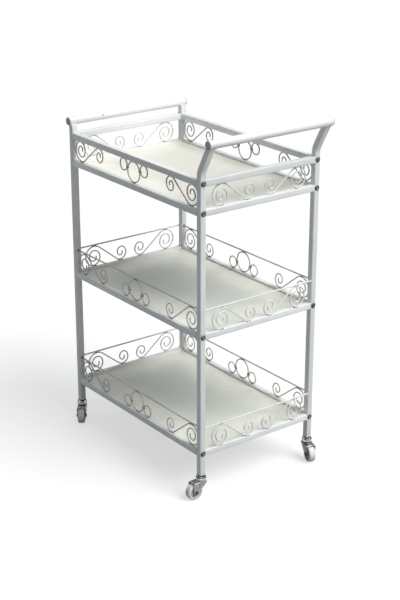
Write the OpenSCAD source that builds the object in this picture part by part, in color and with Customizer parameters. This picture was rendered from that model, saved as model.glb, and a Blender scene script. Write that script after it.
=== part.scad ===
// Three-tier rolling trolley: square-tube frame, wire scroll galleries, sheet trays, four swivel casters.
// +X points to the raised push bar, +Z up, and the wheels stand on Z = 0.

/* [Frame] */
// Length over the outer faces of the legs
frame_l = 528; // [440:1:640]
// Width over the outer faces of the legs
frame_w = 342; // [285:1:420]
// Side of the square frame tube
tube = 15; // [13:0.5:18]
// Wall of the square frame tube
tube_wall = 1.2; // [0.8:0.1:1.6]
// Height of the top face of the highest rails
top_rail_z = 770; // [640:1:930]
// Clear height between the highest rails and the rails that carry the top tray
top_gallery_h = 52; // [45:1:62]
// Height of the top face of the middle rails
middle_rail_z = 413; // [340:1:500]
// Height of the top face of the bottom rails
bottom_rail_z = 121; // [100:1:150]

/* [Bars] */
// Diameter of both hand bars
bar_d = 20; // [16:0.5:22]
// Wall of both hand bars
bar_wall = 1.5; // [1:0.1:2.5]
// How far each bar runs past the outer face of a leg
bar_overhang = 2.5; // [1:0.5:10]
// Push bar centre, outwards from the outer face of its legs
push_out = 30; // [10:1:45]
// Push bar centre, above the highest rails
push_up = 86; // [70:1:120]
// Far bar centre, outwards from the middle of its legs
far_out = 4; // [2:0.5:6]
// Far bar centre, above the highest rails
far_up = 27.5; // [25:0.5:60]
// Centre-line radius of the bends in the legs
bend_r = 40; // [25:1:45]
// Straight tube between the highest rails and a bend
bend_start = 7; // [4:0.5:10]

/* [Galleries] */
// Height of the gallery wire's centre above its rail
gallery_h = 56; // [48:0.5:67]
// Diameter of the straight gallery wire
rail_wire_d = 4; // [3:0.1:5]
// Diameter of the wire that the scrolls and rings are bent from
scroll_wire_d = 3.4; // [2.5:0.1:4]
// Slope of the straight stretch in an S scroll, below the horizontal
scroll_lean = 38.5; // [34:0.5:46]
// Gap between a large scroll and the leg on the long sides
side_scroll_gap = 1.2; // [0.5:0.1:6]
// Share of the free width of a short end that lies between its two small scrolls
end_centre_share = 0.4; // [0.2:0.02:0.8]
// Centre-line radius of the small scrolls
small_scroll_r = 17.5; // [15:0.1:18]
// Outside radius of the small rings
small_ring_r = 15.8; // [12:0.1:20]
// How much each half turn of a large scroll is smaller than the one before
large_scroll_step = 5.6; // [5:0.1:6.4]
// How much each half turn of a small scroll is smaller than the one before
small_scroll_step = 5.5; // [4.8:0.1:6]

/* [Trays] */
// Thickness of the tray sheet
tray_t = 1; // [0.6:0.1:2]
// Depth of the tray floor below the top of its rails
tray_drop = 5; // [3:0.5:8]
// Height of the folded tray edge above the tray floor
tray_lip = 4; // [2:0.5:5]

/* [Casters] */
// Wheel diameter
wheel_d = 40; // [34:1:50]
// Wheel width
wheel_w = 17; // [12:0.5:20]
// Distance of the axle behind the swivel axis
trail = 20; // [17:0.5:24]
// Diameter of the axle rivet
axle_d = 6; // [4:0.5:8]
// Diameter of the swivel head
head_d = 24.5; // [22:0.5:28]
// Height of the swivel head
head_h = 5.8; // [4.5:0.1:8]
// Diameter of the threaded stem and king pin
stem_d = 8; // [6:0.5:9]
// Length of the stem inside the leg
stem_l = 22; // [15:1:35]
// Thickness of the fork sheet
fork_t = 2; // [1.5:0.1:3]
// Trail direction of each caster: push left, push right, far left, far right
swivels = [-91, -17, -39, 91]; // [-180:1:180]

/* [Fasteners] */
// Diameter of the frame bolts
bolt_d = 6; // [4:0.5:7]
// Diameter of the bolt heads
bolt_head_d = 12.5; // [10:0.5:13]
// Height of the bolt heads
bolt_head_h = 4; // [2.5:0.1:5]
// Length of the threaded plugs in the ends of the long rails
plug_l = 14; // [10:1:25]

/* [Hidden] */
$fn = 48;

WHITE = [0.87, 0.89, 0.89];
CREAM = [0.90, 0.90, 0.85];
ZINC = [0.62, 0.63, 0.64];
WHEEL_GREY = [0.72, 0.73, 0.73];
BLACK = [0.12, 0.12, 0.12];
BRONZE = [0.25, 0.23, 0.20];

// Clearances: welded face, slip fit, running fit, and a cut that runs past its solid
weld_gap = 0.1;
fit_gap = 0.1;
run_gap = 0.08;
cut = 1;

// Frame geometry
half_l = frame_l / 2;
half_w = frame_w / 2;
leg_x = half_l - tube / 2;
leg_y = half_w - tube / 2;
inner_x = half_l - tube;
inner_y = half_w - tube;
bore = tube - 2 * tube_wall;
tray_rail_z = top_rail_z - tube - top_gallery_h;
rail_tops = [top_rail_z, tray_rail_z, middle_rail_z, bottom_rail_z];
wire_tiers = [middle_rail_z, bottom_rail_z];
wire_h = gallery_h - rail_wire_d / 2;
least_scroll_gap = 1;
steepest_lean = 70;
bend_z = top_rail_z + bend_start;
bend_steps = 12;
push_x = half_l + push_out;
far_x = -(leg_x + far_out);
ends = [-1, 1];

// Caster stack, from the floor up
wheel_r = wheel_d / 2;
crown_gap = 2.5;
race_h = 2;
race_gap = 0.5;
nut_h = 3.5;
plug_flange_h = 1.5;
crown_z = wheel_d + crown_gap;
race_z = crown_z + fork_t;
head_z = race_z + race_h + race_gap;
nut_z = head_z + head_h;
plug_z = nut_z + nut_h;
leg_z = plug_z + plug_flange_h;
stem_bore_r = stem_d / 2 + run_gap;
ball_r = 1.4;
ball_gap = 0.15;
ball_count = 10;
ball_ring_r = head_d / 2 - 3.4;
ball_z = race_z + race_h + race_gap / 2;

// Bolts
bolt_hole_r = bolt_d / 2 + 0.2;
grommet_r = rail_wire_d / 2 + 1.6;
grommet_hole_r = rail_wire_d / 2 + 0.7;
grommet_t = 1.2;
wire_insert = 5;

// Lengths that meet end to end are kept to whole micrometres
function snap(x) = round(x * 1000) / 1000;

// Angle through which a leg bends to bring its axis through a bar at (out, up) from the bend's start
function bend_angle(out, up) = atan2(-up, out - bend_r) + acos(-bend_r / norm([out - bend_r, up]));

// Point where a line from p touches the circle (c, r); side picks one of the two
function touch(c, r, p, side) =
    let (d = p - c, a = atan2(d.y, d.x) + side * acos(r / norm(d)))
    c + r * [cos(a), sin(a)];

// ---- tube and wire stock ----

module tube_profile() {
    difference() {
        square(tube, center = true);
        square(bore, center = true);
    }
}

// Square tube of length l along X, centred
module rail_stock(l) {
    rotate([90, 0, 90])
        linear_extrude(l, center = true)
            tube_profile();
}

// Half turn or less about [x, 0]; its start is at angle 0 or 180 and it turns clockwise
module wire_arc(x, r, from, sweep) {
    translate([x, 0, 0])
        rotate([0, 0, from])
            rotate_extrude(angle = -sweep)
                translate([r, 0])
                    circle(d = scroll_wire_d);
}

module wire_ring(c, r, d) {
    translate([c.x, c.y, 0])
        rotate_extrude()
            translate([r, 0])
                circle(d = d);
}

// ---- scrolls, drawn in the XY plane between y = 0 and y = h ----

// Radius of a ring that fills the clear height h
function ring_r(h) = snap((h - scroll_wire_d) / 2 - weld_gap);

// First radius of a large scroll, whose second half turn still reaches the far edge of the height h
function large_r(h, lean) = snap(ring_r(h) + large_scroll_step * (1 - cos(lean)) / 2);

// Straight stretch of an S scroll and its length over all, for the clear height h and a slope
function straight_l(h, lean) =
    let (sum = large_r(h, lean) + small_scroll_r)
    snap((h - scroll_wire_d - 2 * weld_gap - sum * (1 - cos(lean))) / sin(lean));
function scroll_l(h, lean) =
    let (sum = large_r(h, lean) + small_scroll_r)
    straight_l(h, lean) * cos(lean) + sum * (1 + sin(lean)) + scroll_wire_d;

// Slope of an S scroll, steeper than usual where the length l has no room for it
function fitted_lean(h, l, lean) =
    scroll_l(h, lean) <= l || lean >= steepest_lean ? lean : fitted_lean(h, l, lean + 0.5);

// Scroll of ever smaller half turns with their ends in line, clockwise from the origin
module scroll(r, step, turns, last) {
    for (i = [0 : turns - 1])
        wire_arc(r + (i % 2) * step, r - i * step, i % 2 == 0 ? 180 : 0, i < turns - 1 ? 180 : last);
}

// S scroll with the large scroll's centre at x = 0, touching y = 0 and y = h, and the small one at -x
module s_scroll(h, lean) {
    large = large_r(h, lean);
    l = straight_l(h, lean);
    edge = weld_gap + scroll_wire_d / 2;
    translate([0, large + edge, 0])
        rotate([0, 0, -90 - lean])
            mirror([1, 0, 0])
                translate([-large, 0, 0]) {
                    scroll(large, large_scroll_step, 4, 150);
                    rotate([90, 0, 0])
                        cylinder(d = scroll_wire_d, h = l);
                    translate([0, -l, 0])
                        rotate([0, 0, 180])
                            scroll(small_scroll_r, small_scroll_step, 3, 160);
                }
}

// Distances of a small ring's centre from the large ring's centre, up and along
function ring_rise(h) = h / 2 - weld_gap - small_ring_r;
function ring_reach(h) =
    let (apart = ring_r(h) + small_ring_r + scroll_wire_d / 2 + weld_gap)
    sqrt(apart * apart - ring_rise(h) * ring_rise(h));

// Large ring with a small ring on each side, the small ones against y = h
module ring_group(h) {
    wire_ring([0, h / 2], ring_r(h), scroll_wire_d);
    for (s = ends)
        wire_ring([s * ring_reach(h), h / 2 + ring_rise(h)], small_ring_r - scroll_wire_d / 2, scroll_wire_d);
}

// A left and a right S scroll, each with its large end by the outer limit x = -outer or outer
module scroll_pair(h, lean, outer) {
    for (m = [0, 1])
        mirror([m, 0, 0])
            translate([outer - scroll_wire_d / 2 - large_r(h, lean), 0, 0])
                s_scroll(h, lean);
}

// Filling of a long side, clear height h, centred on x = 0
module side_scrolls(h) {
    outer = inner_x - side_scroll_gap;
    room = outer - ring_reach(h) - small_ring_r - least_scroll_gap;
    ring_group(h);
    scroll_pair(h, fitted_lean(h, room, scroll_lean), outer);
}

// Filling of a short end, clear height h, centred on x = 0
module end_scrolls(h) {
    lean = fitted_lean(h, inner_y - 2 * least_scroll_gap, scroll_lean);
    leg_gap = (1 - end_centre_share) * (inner_y - scroll_l(h, lean));
    scroll_pair(h, lean, inner_y - leg_gap);
}

// Turns a filling drawn between y = 0 and y = h upside down
module flipped(h) {
    translate([0, h, 0])
        mirror([0, 1, 0])
            children();
}

// Stands a drawing up on the long side y, or on the short end x, with its base at height z
module on_side(s, z) {
    translate([0, s * leg_y, z])
        rotate([90, 0, 0])
            children();
}

module on_end(s, x, z) {
    translate([s * x, 0, z])
        rotate([90, 0, 90])
            children();
}

// ---- frame pieces ----

// Side outline of a leg, half as wide as w, from z = low to the end of a slanted stretch of length slant_l
function leg_side(w, low, a, slant_l) =
    let (top = [bend_r * (1 - cos(a)), bend_z + bend_r * sin(a)])
    concat([[w, low]],
           [for (i = [0 : bend_steps])
               let (t = a * i / bend_steps)
               [bend_r - (bend_r - w) * cos(t), bend_z + (bend_r - w) * sin(t)]],
           [top + slant_l * [sin(a), cos(a)] + w * [cos(a), -sin(a)]]);

module leg_solid(w, low, a, slant_l) {
    far_side = leg_side(-w, low, a, slant_l);
    last = len(far_side) - 1;
    rotate([90, 0, 0])
        linear_extrude(2 * w, center = true)
            polygon(concat(leg_side(w, low, a, slant_l), [for (i = [last : -1 : 0]) far_side[i]]));
}

// Leg at the corner (sx, sy); its top leans outwards to carry a bar at (out, up) from the bend's start
module leg(sx, sy, out, up) {
    a = bend_angle(out, up);
    slant_l = norm([out - bend_r * (1 - cos(a)), up - bend_r * sin(a)]);
    color(WHITE)
        translate([sx * leg_x, sy * leg_y, 0])
            mirror([sx < 0 ? 1 : 0, 0, 0])
                difference() {
                    leg_solid(tube / 2, leg_z, a, slant_l);
                    leg_solid(bore / 2, leg_z - cut, a, slant_l + cut);
                    translate([out, 0, bend_z + up])
                        rotate([90, 0, 0])
                            cylinder(r = bar_d / 2 + weld_gap, h = 2 * tube, center = true);
                    for (z = rail_tops)
                        translate([0, 0, z - tube / 2])
                            rotate([0, 90, 0])
                                cylinder(r = bolt_hole_r, h = tube + 2 * cut, center = true);
                    for (z = wire_tiers)
                        translate([-tube / 2, 0, z + gallery_h])
                            rotate([0, 90, 0])
                                cylinder(r = grommet_hole_r, h = 4 * tube_wall, center = true);
                }
}

module push_leg(sy) {
    leg(1, sy, push_out + tube / 2, push_up - bend_start);
}

module far_leg(sy) {
    leg(-1, sy, far_out, far_up - bend_start);
}

module bar_at(x, up) {
    color(WHITE)
        translate([x, 0, top_rail_z + up])
            rotate([90, 0, 0])
                linear_extrude(frame_w + 2 * bar_overhang, center = true)
                    difference() {
                        circle(d = bar_d);
                        circle(d = bar_d - 2 * bar_wall);
                    }
}

// Plug with a domed cap that closes one end of a bar
module end_plug() {
    cap_t = 1.2;
    dome_r = 2.5 * bar_d;
    neck_l = 12;
    translate([0, 0, -neck_l])
        cylinder(r = bar_d / 2 - bar_wall - fit_gap, h = neck_l);
    intersection() {
        cylinder(d = bar_d, h = 2 * cap_t);
        translate([0, 0, 2 * cap_t - dome_r])
            sphere(r = dome_r);
    }
}

module side_rail(s, z) {
    color(WHITE)
        translate([0, s * leg_y, z - tube / 2])
            rail_stock(2 * (inner_x - weld_gap));
}

module end_rail(s, z) {
    color(WHITE)
        translate([s * leg_x, 0, z - tube / 2])
            rotate([0, 0, 90])
                rail_stock(2 * (inner_y - weld_gap));
}

module top_side_gallery(s) {
    color(WHITE)
        on_side(s, tray_rail_z)
            side_scrolls(top_gallery_h);
}

module top_end_gallery(s) {
    color(WHITE)
        on_end(s, leg_x, tray_rail_z)
            flipped(top_gallery_h)
                end_scrolls(top_gallery_h);
}

module side_gallery(s, z) {
    wire_l = 2 * (inner_x + wire_insert);
    color(WHITE)
        on_side(s, z) {
            flipped(wire_h)
                side_scrolls(wire_h);
            translate([-wire_l / 2, gallery_h, 0])
                rotate([0, 90, 0])
                    cylinder(d = rail_wire_d, h = wire_l);
        }
}

// The gallery of a short end lies flush with the outer faces of its legs
module end_gallery(s, z) {
    wire_l = 2 * (inner_y - weld_gap);
    color(WHITE)
        on_end(s, half_l - rail_wire_d / 2, z) {
            flipped(wire_h)
                end_scrolls(wire_h);
            translate([-wire_l / 2, gallery_h, 0])
                rotate([0, 90, 0])
                    cylinder(d = rail_wire_d, h = wire_l);
        }
}

module tray(z) {
    l = 2 * (inner_x - fit_gap);
    w = 2 * (inner_y - fit_gap);
    floor_z = z - tray_drop;
    color(CREAM)
        translate([0, 0, floor_z - tray_t])
            difference() {
                translate([-l / 2, -w / 2, 0])
                    cube([l, w, tray_t + tray_lip]);
                translate([-l / 2 + tray_t, -w / 2 + tray_t, tray_t])
                    cube([l - 2 * tray_t, w - 2 * tray_t, tray_lip + cut]);
            }
}

// ---- fasteners ----

// Frame bolt along +X with its head's seat at x = 0 and a hexagonal socket
module frame_bolt() {
    socket_d = 0.55 * bolt_head_d;
    socket_h = 0.55 * bolt_head_h;
    rim_h = 0.35 * bolt_head_h;
    dome_r = (pow(bolt_head_d / 2, 2) + pow(bolt_head_h - rim_h, 2)) / (2 * (bolt_head_h - rim_h));
    rotate([0, 90, 0])
        difference() {
            union() {
                translate([0, 0, -(tube + plug_l)])
                    cylinder(d = bolt_d, h = tube + plug_l);
                intersection() {
                    cylinder(d = bolt_head_d, h = bolt_head_h);
                    translate([0, 0, bolt_head_h - dome_r])
                        sphere(r = dome_r);
                }
            }
            translate([0, 0, bolt_head_h - socket_h])
                cylinder(d = socket_d, h = socket_h + cut, $fn = 6);
        }
}

module at_corners(x, y) {
    for (sx = ends)
        for (sy = ends)
            translate([sx * x, sy * y, 0])
                mirror([sx < 0 ? 1 : 0, 0, 0])
                    children();
}

module bolt_set() {
    color(BRONZE)
        at_corners(half_l + weld_gap, leg_y)
            for (z = rail_tops)
                translate([0, 0, z - tube / 2])
                    frame_bolt();
}

module rail_plug_set() {
    side = bore - 2 * fit_gap;
    color(BLACK)
        at_corners(inner_x - weld_gap - plug_l, leg_y)
            for (z = rail_tops)
                translate([0, 0, z - tube / 2])
                    rotate([0, 90, 0])
                        difference() {
                            linear_extrude(plug_l)
                                square(side, center = true);
                            translate([0, 0, -cut])
                                cylinder(r = bolt_d / 2 + run_gap, h = plug_l + 2 * cut);
                        }
}

// Collars that hold the ends of the long gallery wires in the legs
module grommet_set() {
    color(BLACK)
        at_corners(inner_x, leg_y)
            for (z = wire_tiers)
                translate([0, 0, z + gallery_h])
                    rotate([0, 90, 0])
                        difference() {
                            union() {
                                translate([0, 0, -grommet_t - weld_gap])
                                    cylinder(r = grommet_r, h = grommet_t);
                                translate([0, 0, -cut])
                                    cylinder(r = grommet_hole_r - fit_gap, h = tube_wall + 2 * cut);
                            }
                            translate([0, 0, -2 * grommet_t])
                                cylinder(r = rail_wire_d / 2 + fit_gap, h = 3 * tube);
                        }
}

module leg_plug_set() {
    side = bore - 2 * fit_gap;
    color(BLACK)
        at_corners(leg_x, leg_y)
            difference() {
                union() {
                    translate([0, 0, plug_z])
                        linear_extrude(plug_flange_h - weld_gap)
                            square(tube, center = true);
                    translate([0, 0, plug_z])
                        linear_extrude(stem_l + 2 * cut)
                            square(side, center = true);
                }
                translate([0, 0, plug_z - cut])
                    cylinder(r = stem_d / 2 + run_gap, h = stem_l + 6 * cut);
            }
}

module bar_plug_set() {
    end_y = half_w + bar_overhang + weld_gap;
    color(WHITE)
        for (bar = [[push_x, push_up], [far_x, far_up]])
            for (s = ends)
                translate([bar.x, s * end_y, top_rail_z + bar.y])
                    rotate([-s * 90, 0, 0])
                        end_plug();
}

// ---- casters ----

pin_head_d = stem_d + 4;
pin_head_h = 2;

// Threaded stem and king pin in one, riveted over below the fork's crown
module stem_set() {
    foot = crown_z - run_gap - pin_head_h;
    color(ZINC)
        at_corners(leg_x, leg_y) {
            translate([0, 0, foot])
                cylinder(d = stem_d, h = plug_z + stem_l - foot);
            translate([0, 0, foot])
                cylinder(d = pin_head_d, h = pin_head_h);
        }
}

module nut_set() {
    across = 1.6 * stem_d;
    color(BLACK)
        at_corners(leg_x, leg_y)
            translate([0, 0, nut_z + weld_gap])
                difference() {
                    cylinder(d = across / cos(30), h = nut_h - 2 * weld_gap, $fn = 6);
                    translate([0, 0, -cut])
                        cylinder(r = stem_bore_r, h = nut_h + 2 * cut);
                }
}

module ball_groove() {
    rotate_extrude()
        translate([ball_ring_r, 0])
            circle(r = ball_r + ball_gap);
}

// Round cup that is fixed to the stem and runs on the ball race
module head_set() {
    round_r = 1.8;
    r = head_d / 2;
    color(ZINC)
        at_corners(leg_x, leg_y)
            difference() {
                translate([0, 0, head_z])
                    rotate_extrude() {
                        translate([stem_bore_r, 0])
                            square([r - stem_bore_r, head_h - round_r]);
                        translate([stem_bore_r, 0])
                            square([r - stem_bore_r - round_r, head_h]);
                        translate([r - round_r, head_h - round_r])
                            circle(r = round_r);
                    }
                translate([0, 0, ball_z])
                    ball_groove();
            }
}

module ball_set() {
    color(ZINC)
        at_corners(leg_x, leg_y)
            for (i = [0 : ball_count - 1])
                rotate([0, 0, i * 360 / ball_count])
                    translate([ball_ring_r, 0, ball_z])
                        sphere(r = ball_r);
}

cheek_gap = 1;
cheek_y = wheel_w / 2 + cheek_gap;
crown_front = trail + 8;
boss_r = axle_d / 2 + 3;

// Side view of a fork cheek: crown corners joined by tangents to the boss around the axle
module cheek_profile() {
    axle = [trail, wheel_r];
    back = [-head_d / 2 + 3, crown_z];
    front = [crown_front, crown_z];
    difference() {
        union() {
            polygon([back, back + [0, fork_t], front + [0, fork_t], front,
                     touch(axle, boss_r, front, -1), axle, touch(axle, boss_r, back, 1)]);
            translate(axle)
                circle(r = boss_r);
        }
        translate(axle)
            circle(r = axle_d / 2 + fit_gap);
    }
}

// Fork with its swivel axis on Z and its axle at x = trail
module fork() {
    corner_r = 5;
    outer = cheek_y + fork_t;
    difference() {
        union() {
            for (s = ends)
                translate([0, s * (cheek_y + fork_t / 2), 0])
                    rotate([90, 0, 0])
                        linear_extrude(fork_t, center = true)
                            cheek_profile();
            translate([0, 0, crown_z])
                linear_extrude(fork_t) {
                    circle(d = head_d);
                    translate([0, -outer])
                        square([crown_front - corner_r, 2 * outer]);
                    translate([crown_front - 2 * corner_r, -outer + corner_r])
                        square([2 * corner_r, 2 * (outer - corner_r)]);
                    for (s = ends)
                        translate([crown_front - corner_r, s * (outer - corner_r)])
                            circle(r = corner_r);
                }
            translate([0, 0, race_z])
                cylinder(d = head_d, h = race_h);
        }
        translate([0, 0, crown_z - cut])
            cylinder(r = stem_bore_r, h = fork_t + race_h + 2 * cut);
        translate([0, 0, ball_z])
            ball_groove();
    }
}

module wheel() {
    tread_r = 2.5;
    dish_r = wheel_r - 4.5;
    hub_r = axle_d / 2 + 3;
    dish = 2;
    half = wheel_w / 2;
    translate([trail, 0, wheel_r])
        rotate([90, 0, 0])
            rotate_extrude()
                difference() {
                    union() {
                        translate([axle_d / 2 + run_gap, -half])
                            square([wheel_r - tread_r - axle_d / 2 - run_gap, wheel_w]);
                        translate([wheel_r - 2 * tread_r, -half + tread_r])
                            square([2 * tread_r, wheel_w - 2 * tread_r]);
                        for (s = ends)
                            translate([wheel_r - tread_r, s * (half - tread_r)])
                                circle(r = tread_r);
                    }
                    for (s = ends)
                        translate([hub_r, s * half - dish])
                            square([dish_r - hub_r, 2 * dish]);
                }
}

// Rivet that carries the wheel between the cheeks
module axle() {
    head_r = axle_d / 2 + 1.6;
    head_t = 1.4;
    reach = cheek_y + fork_t + weld_gap;
    translate([trail, 0, wheel_r])
        rotate([90, 0, 0]) {
            cylinder(d = axle_d, h = 2 * reach, center = true);
            for (s = ends)
                translate([0, 0, s * (reach + head_t / 2)])
                    cylinder(r = head_r, h = head_t, center = true);
        }
}

module at_caster(i) {
    sx = i < 2 ? 1 : -1;
    sy = i % 2 == 0 ? -1 : 1;
    translate([sx * leg_x, sy * leg_y, 0])
        rotate([0, 0, swivels[i]])
            children();
}

// ---- nodes, about an origin on the floor midway between the outer faces of the two bars ----

module placed() {
    translate([-(push_x + far_x) / 2, 0, 0])
        children();
}

module leg_push_left() { placed() push_leg(-1); }
module leg_push_right() { placed() push_leg(1); }
module leg_far_left() { placed() far_leg(-1); }
module leg_far_right() { placed() far_leg(1); }
module push_bar() { placed() bar_at(push_x, push_up); }
module far_bar() { placed() bar_at(far_x, far_up); }

module top_rail_left() { placed() side_rail(-1, top_rail_z); }
module top_rail_right() { placed() side_rail(1, top_rail_z); }
module top_rail_push() { placed() end_rail(1, top_rail_z); }
module top_rail_far() { placed() end_rail(-1, top_rail_z); }
module tray_rail_left() { placed() side_rail(-1, tray_rail_z); }
module tray_rail_right() { placed() side_rail(1, tray_rail_z); }
module tray_rail_push() { placed() end_rail(1, tray_rail_z); }
module tray_rail_far() { placed() end_rail(-1, tray_rail_z); }
module middle_rail_left() { placed() side_rail(-1, middle_rail_z); }
module middle_rail_right() { placed() side_rail(1, middle_rail_z); }
module middle_rail_push() { placed() end_rail(1, middle_rail_z); }
module middle_rail_far() { placed() end_rail(-1, middle_rail_z); }
module bottom_rail_left() { placed() side_rail(-1, bottom_rail_z); }
module bottom_rail_right() { placed() side_rail(1, bottom_rail_z); }
module bottom_rail_push() { placed() end_rail(1, bottom_rail_z); }
module bottom_rail_far() { placed() end_rail(-1, bottom_rail_z); }

module top_gallery_left() { placed() top_side_gallery(-1); }
module top_gallery_right() { placed() top_side_gallery(1); }
module top_gallery_push() { placed() top_end_gallery(1); }
module top_gallery_far() { placed() top_end_gallery(-1); }
module middle_gallery_left() { placed() side_gallery(-1, middle_rail_z); }
module middle_gallery_right() { placed() side_gallery(1, middle_rail_z); }
module middle_gallery_push() { placed() end_gallery(1, middle_rail_z); }
module middle_gallery_far() { placed() end_gallery(-1, middle_rail_z); }
module bottom_gallery_left() { placed() side_gallery(-1, bottom_rail_z); }
module bottom_gallery_right() { placed() side_gallery(1, bottom_rail_z); }
module bottom_gallery_push() { placed() end_gallery(1, bottom_rail_z); }
module bottom_gallery_far() { placed() end_gallery(-1, bottom_rail_z); }

module top_tray() { placed() tray(tray_rail_z); }
module middle_tray() { placed() tray(middle_rail_z); }
module bottom_tray() { placed() tray(bottom_rail_z); }

module bar_end_plugs() { placed() bar_plug_set(); }
module frame_bolts() { placed() bolt_set(); }
module rail_plugs() { placed() rail_plug_set(); }
module wire_grommets() { placed() grommet_set(); }
module leg_plugs() { placed() leg_plug_set(); }
module caster_stems() { placed() stem_set(); }
module stem_nuts() { placed() nut_set(); }
module swivel_heads() { placed() head_set(); }
module swivel_balls() { placed() ball_set(); }

module fork_push_left() { placed() color(ZINC) at_caster(0) fork(); }
module fork_push_right() { placed() color(ZINC) at_caster(1) fork(); }
module fork_far_left() { placed() color(ZINC) at_caster(2) fork(); }
module fork_far_right() { placed() color(ZINC) at_caster(3) fork(); }
module wheel_push_left() { placed() color(WHEEL_GREY) at_caster(0) wheel(); }
module wheel_push_right() { placed() color(WHEEL_GREY) at_caster(1) wheel(); }
module wheel_far_left() { placed() color(WHEEL_GREY) at_caster(2) wheel(); }
module wheel_far_right() { placed() color(WHEEL_GREY) at_caster(3) wheel(); }
module axle_push_left() { placed() color(ZINC) at_caster(0) axle(); }
module axle_push_right() { placed() color(ZINC) at_caster(1) axle(); }
module axle_far_left() { placed() color(ZINC) at_caster(2) axle(); }
module axle_far_right() { placed() color(ZINC) at_caster(3) axle(); }

leg_push_left();
leg_push_right();
leg_far_left();
leg_far_right();
push_bar();
far_bar();
bar_end_plugs();
top_rail_left();
top_rail_right();
top_rail_push();
top_rail_far();
tray_rail_left();
tray_rail_right();
tray_rail_push();
tray_rail_far();
middle_rail_left();
middle_rail_right();
middle_rail_push();
middle_rail_far();
bottom_rail_left();
bottom_rail_right();
bottom_rail_push();
bottom_rail_far();
top_gallery_left();
top_gallery_right();
top_gallery_push();
top_gallery_far();
middle_gallery_left();
middle_gallery_right();
middle_gallery_push();
middle_gallery_far();
bottom_gallery_left();
bottom_gallery_right();
bottom_gallery_push();
bottom_gallery_far();
top_tray();
middle_tray();
bottom_tray();
frame_bolts();
rail_plugs();
wire_grommets();
leg_plugs();
caster_stems();
stem_nuts();
swivel_heads();
swivel_balls();
fork_push_left();
fork_push_right();
fork_far_left();
fork_far_right();
wheel_push_left();
wheel_push_right();
wheel_far_left();
wheel_far_right();
axle_push_left();
axle_push_right();
axle_far_left();
axle_far_right();
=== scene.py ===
import math

import bmesh
import bpy
from mathutils import Matrix, Vector, noise


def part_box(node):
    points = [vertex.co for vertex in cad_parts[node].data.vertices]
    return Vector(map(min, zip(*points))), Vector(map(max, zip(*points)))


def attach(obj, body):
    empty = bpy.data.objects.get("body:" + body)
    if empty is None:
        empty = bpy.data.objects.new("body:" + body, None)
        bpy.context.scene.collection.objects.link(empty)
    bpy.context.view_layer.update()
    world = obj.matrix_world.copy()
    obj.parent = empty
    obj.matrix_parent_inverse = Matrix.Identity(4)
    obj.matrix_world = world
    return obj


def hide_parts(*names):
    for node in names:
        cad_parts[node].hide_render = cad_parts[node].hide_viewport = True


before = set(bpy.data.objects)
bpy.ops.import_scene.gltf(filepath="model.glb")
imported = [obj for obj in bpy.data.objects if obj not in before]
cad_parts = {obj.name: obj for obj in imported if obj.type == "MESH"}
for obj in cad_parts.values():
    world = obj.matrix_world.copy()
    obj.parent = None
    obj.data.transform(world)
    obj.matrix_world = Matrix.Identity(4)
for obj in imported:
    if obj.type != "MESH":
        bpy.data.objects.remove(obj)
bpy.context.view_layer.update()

# ---------------------------------------------------------------- sizes taken from the frame

ENDS = (-1, 1)
SIDES = ("left", "right")
CORNERS = ("push_left", "push_right", "far_left", "far_right")
BODY = "trolley"


def centre(node):
    low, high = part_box(node)
    return (low + high) / 2


def size(node):
    low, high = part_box(node)
    return high - low


TUBE = size("top_rail_left").y
TUBE_WALL = 0.0012
TUBE_CORNER = 0.0018
LEG_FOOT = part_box("leg_push_left")[0].z
LEG_Y = centre("top_rail_right").y
LEG_X = {"push": centre("top_rail_push").x, "far": centre("top_rail_far").x}
MIDDLE_X = (LEG_X["push"] + LEG_X["far"]) / 2
TOP_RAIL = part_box("top_rail_left")[1].z
BEND_START = TOP_RAIL + 0.007
BEND_R = 0.040
BAR_R = size("push_bar").z / 2
JOINT_GAP = 0.0003

# ---------------------------------------------------------------- node trees for the finishes


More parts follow.
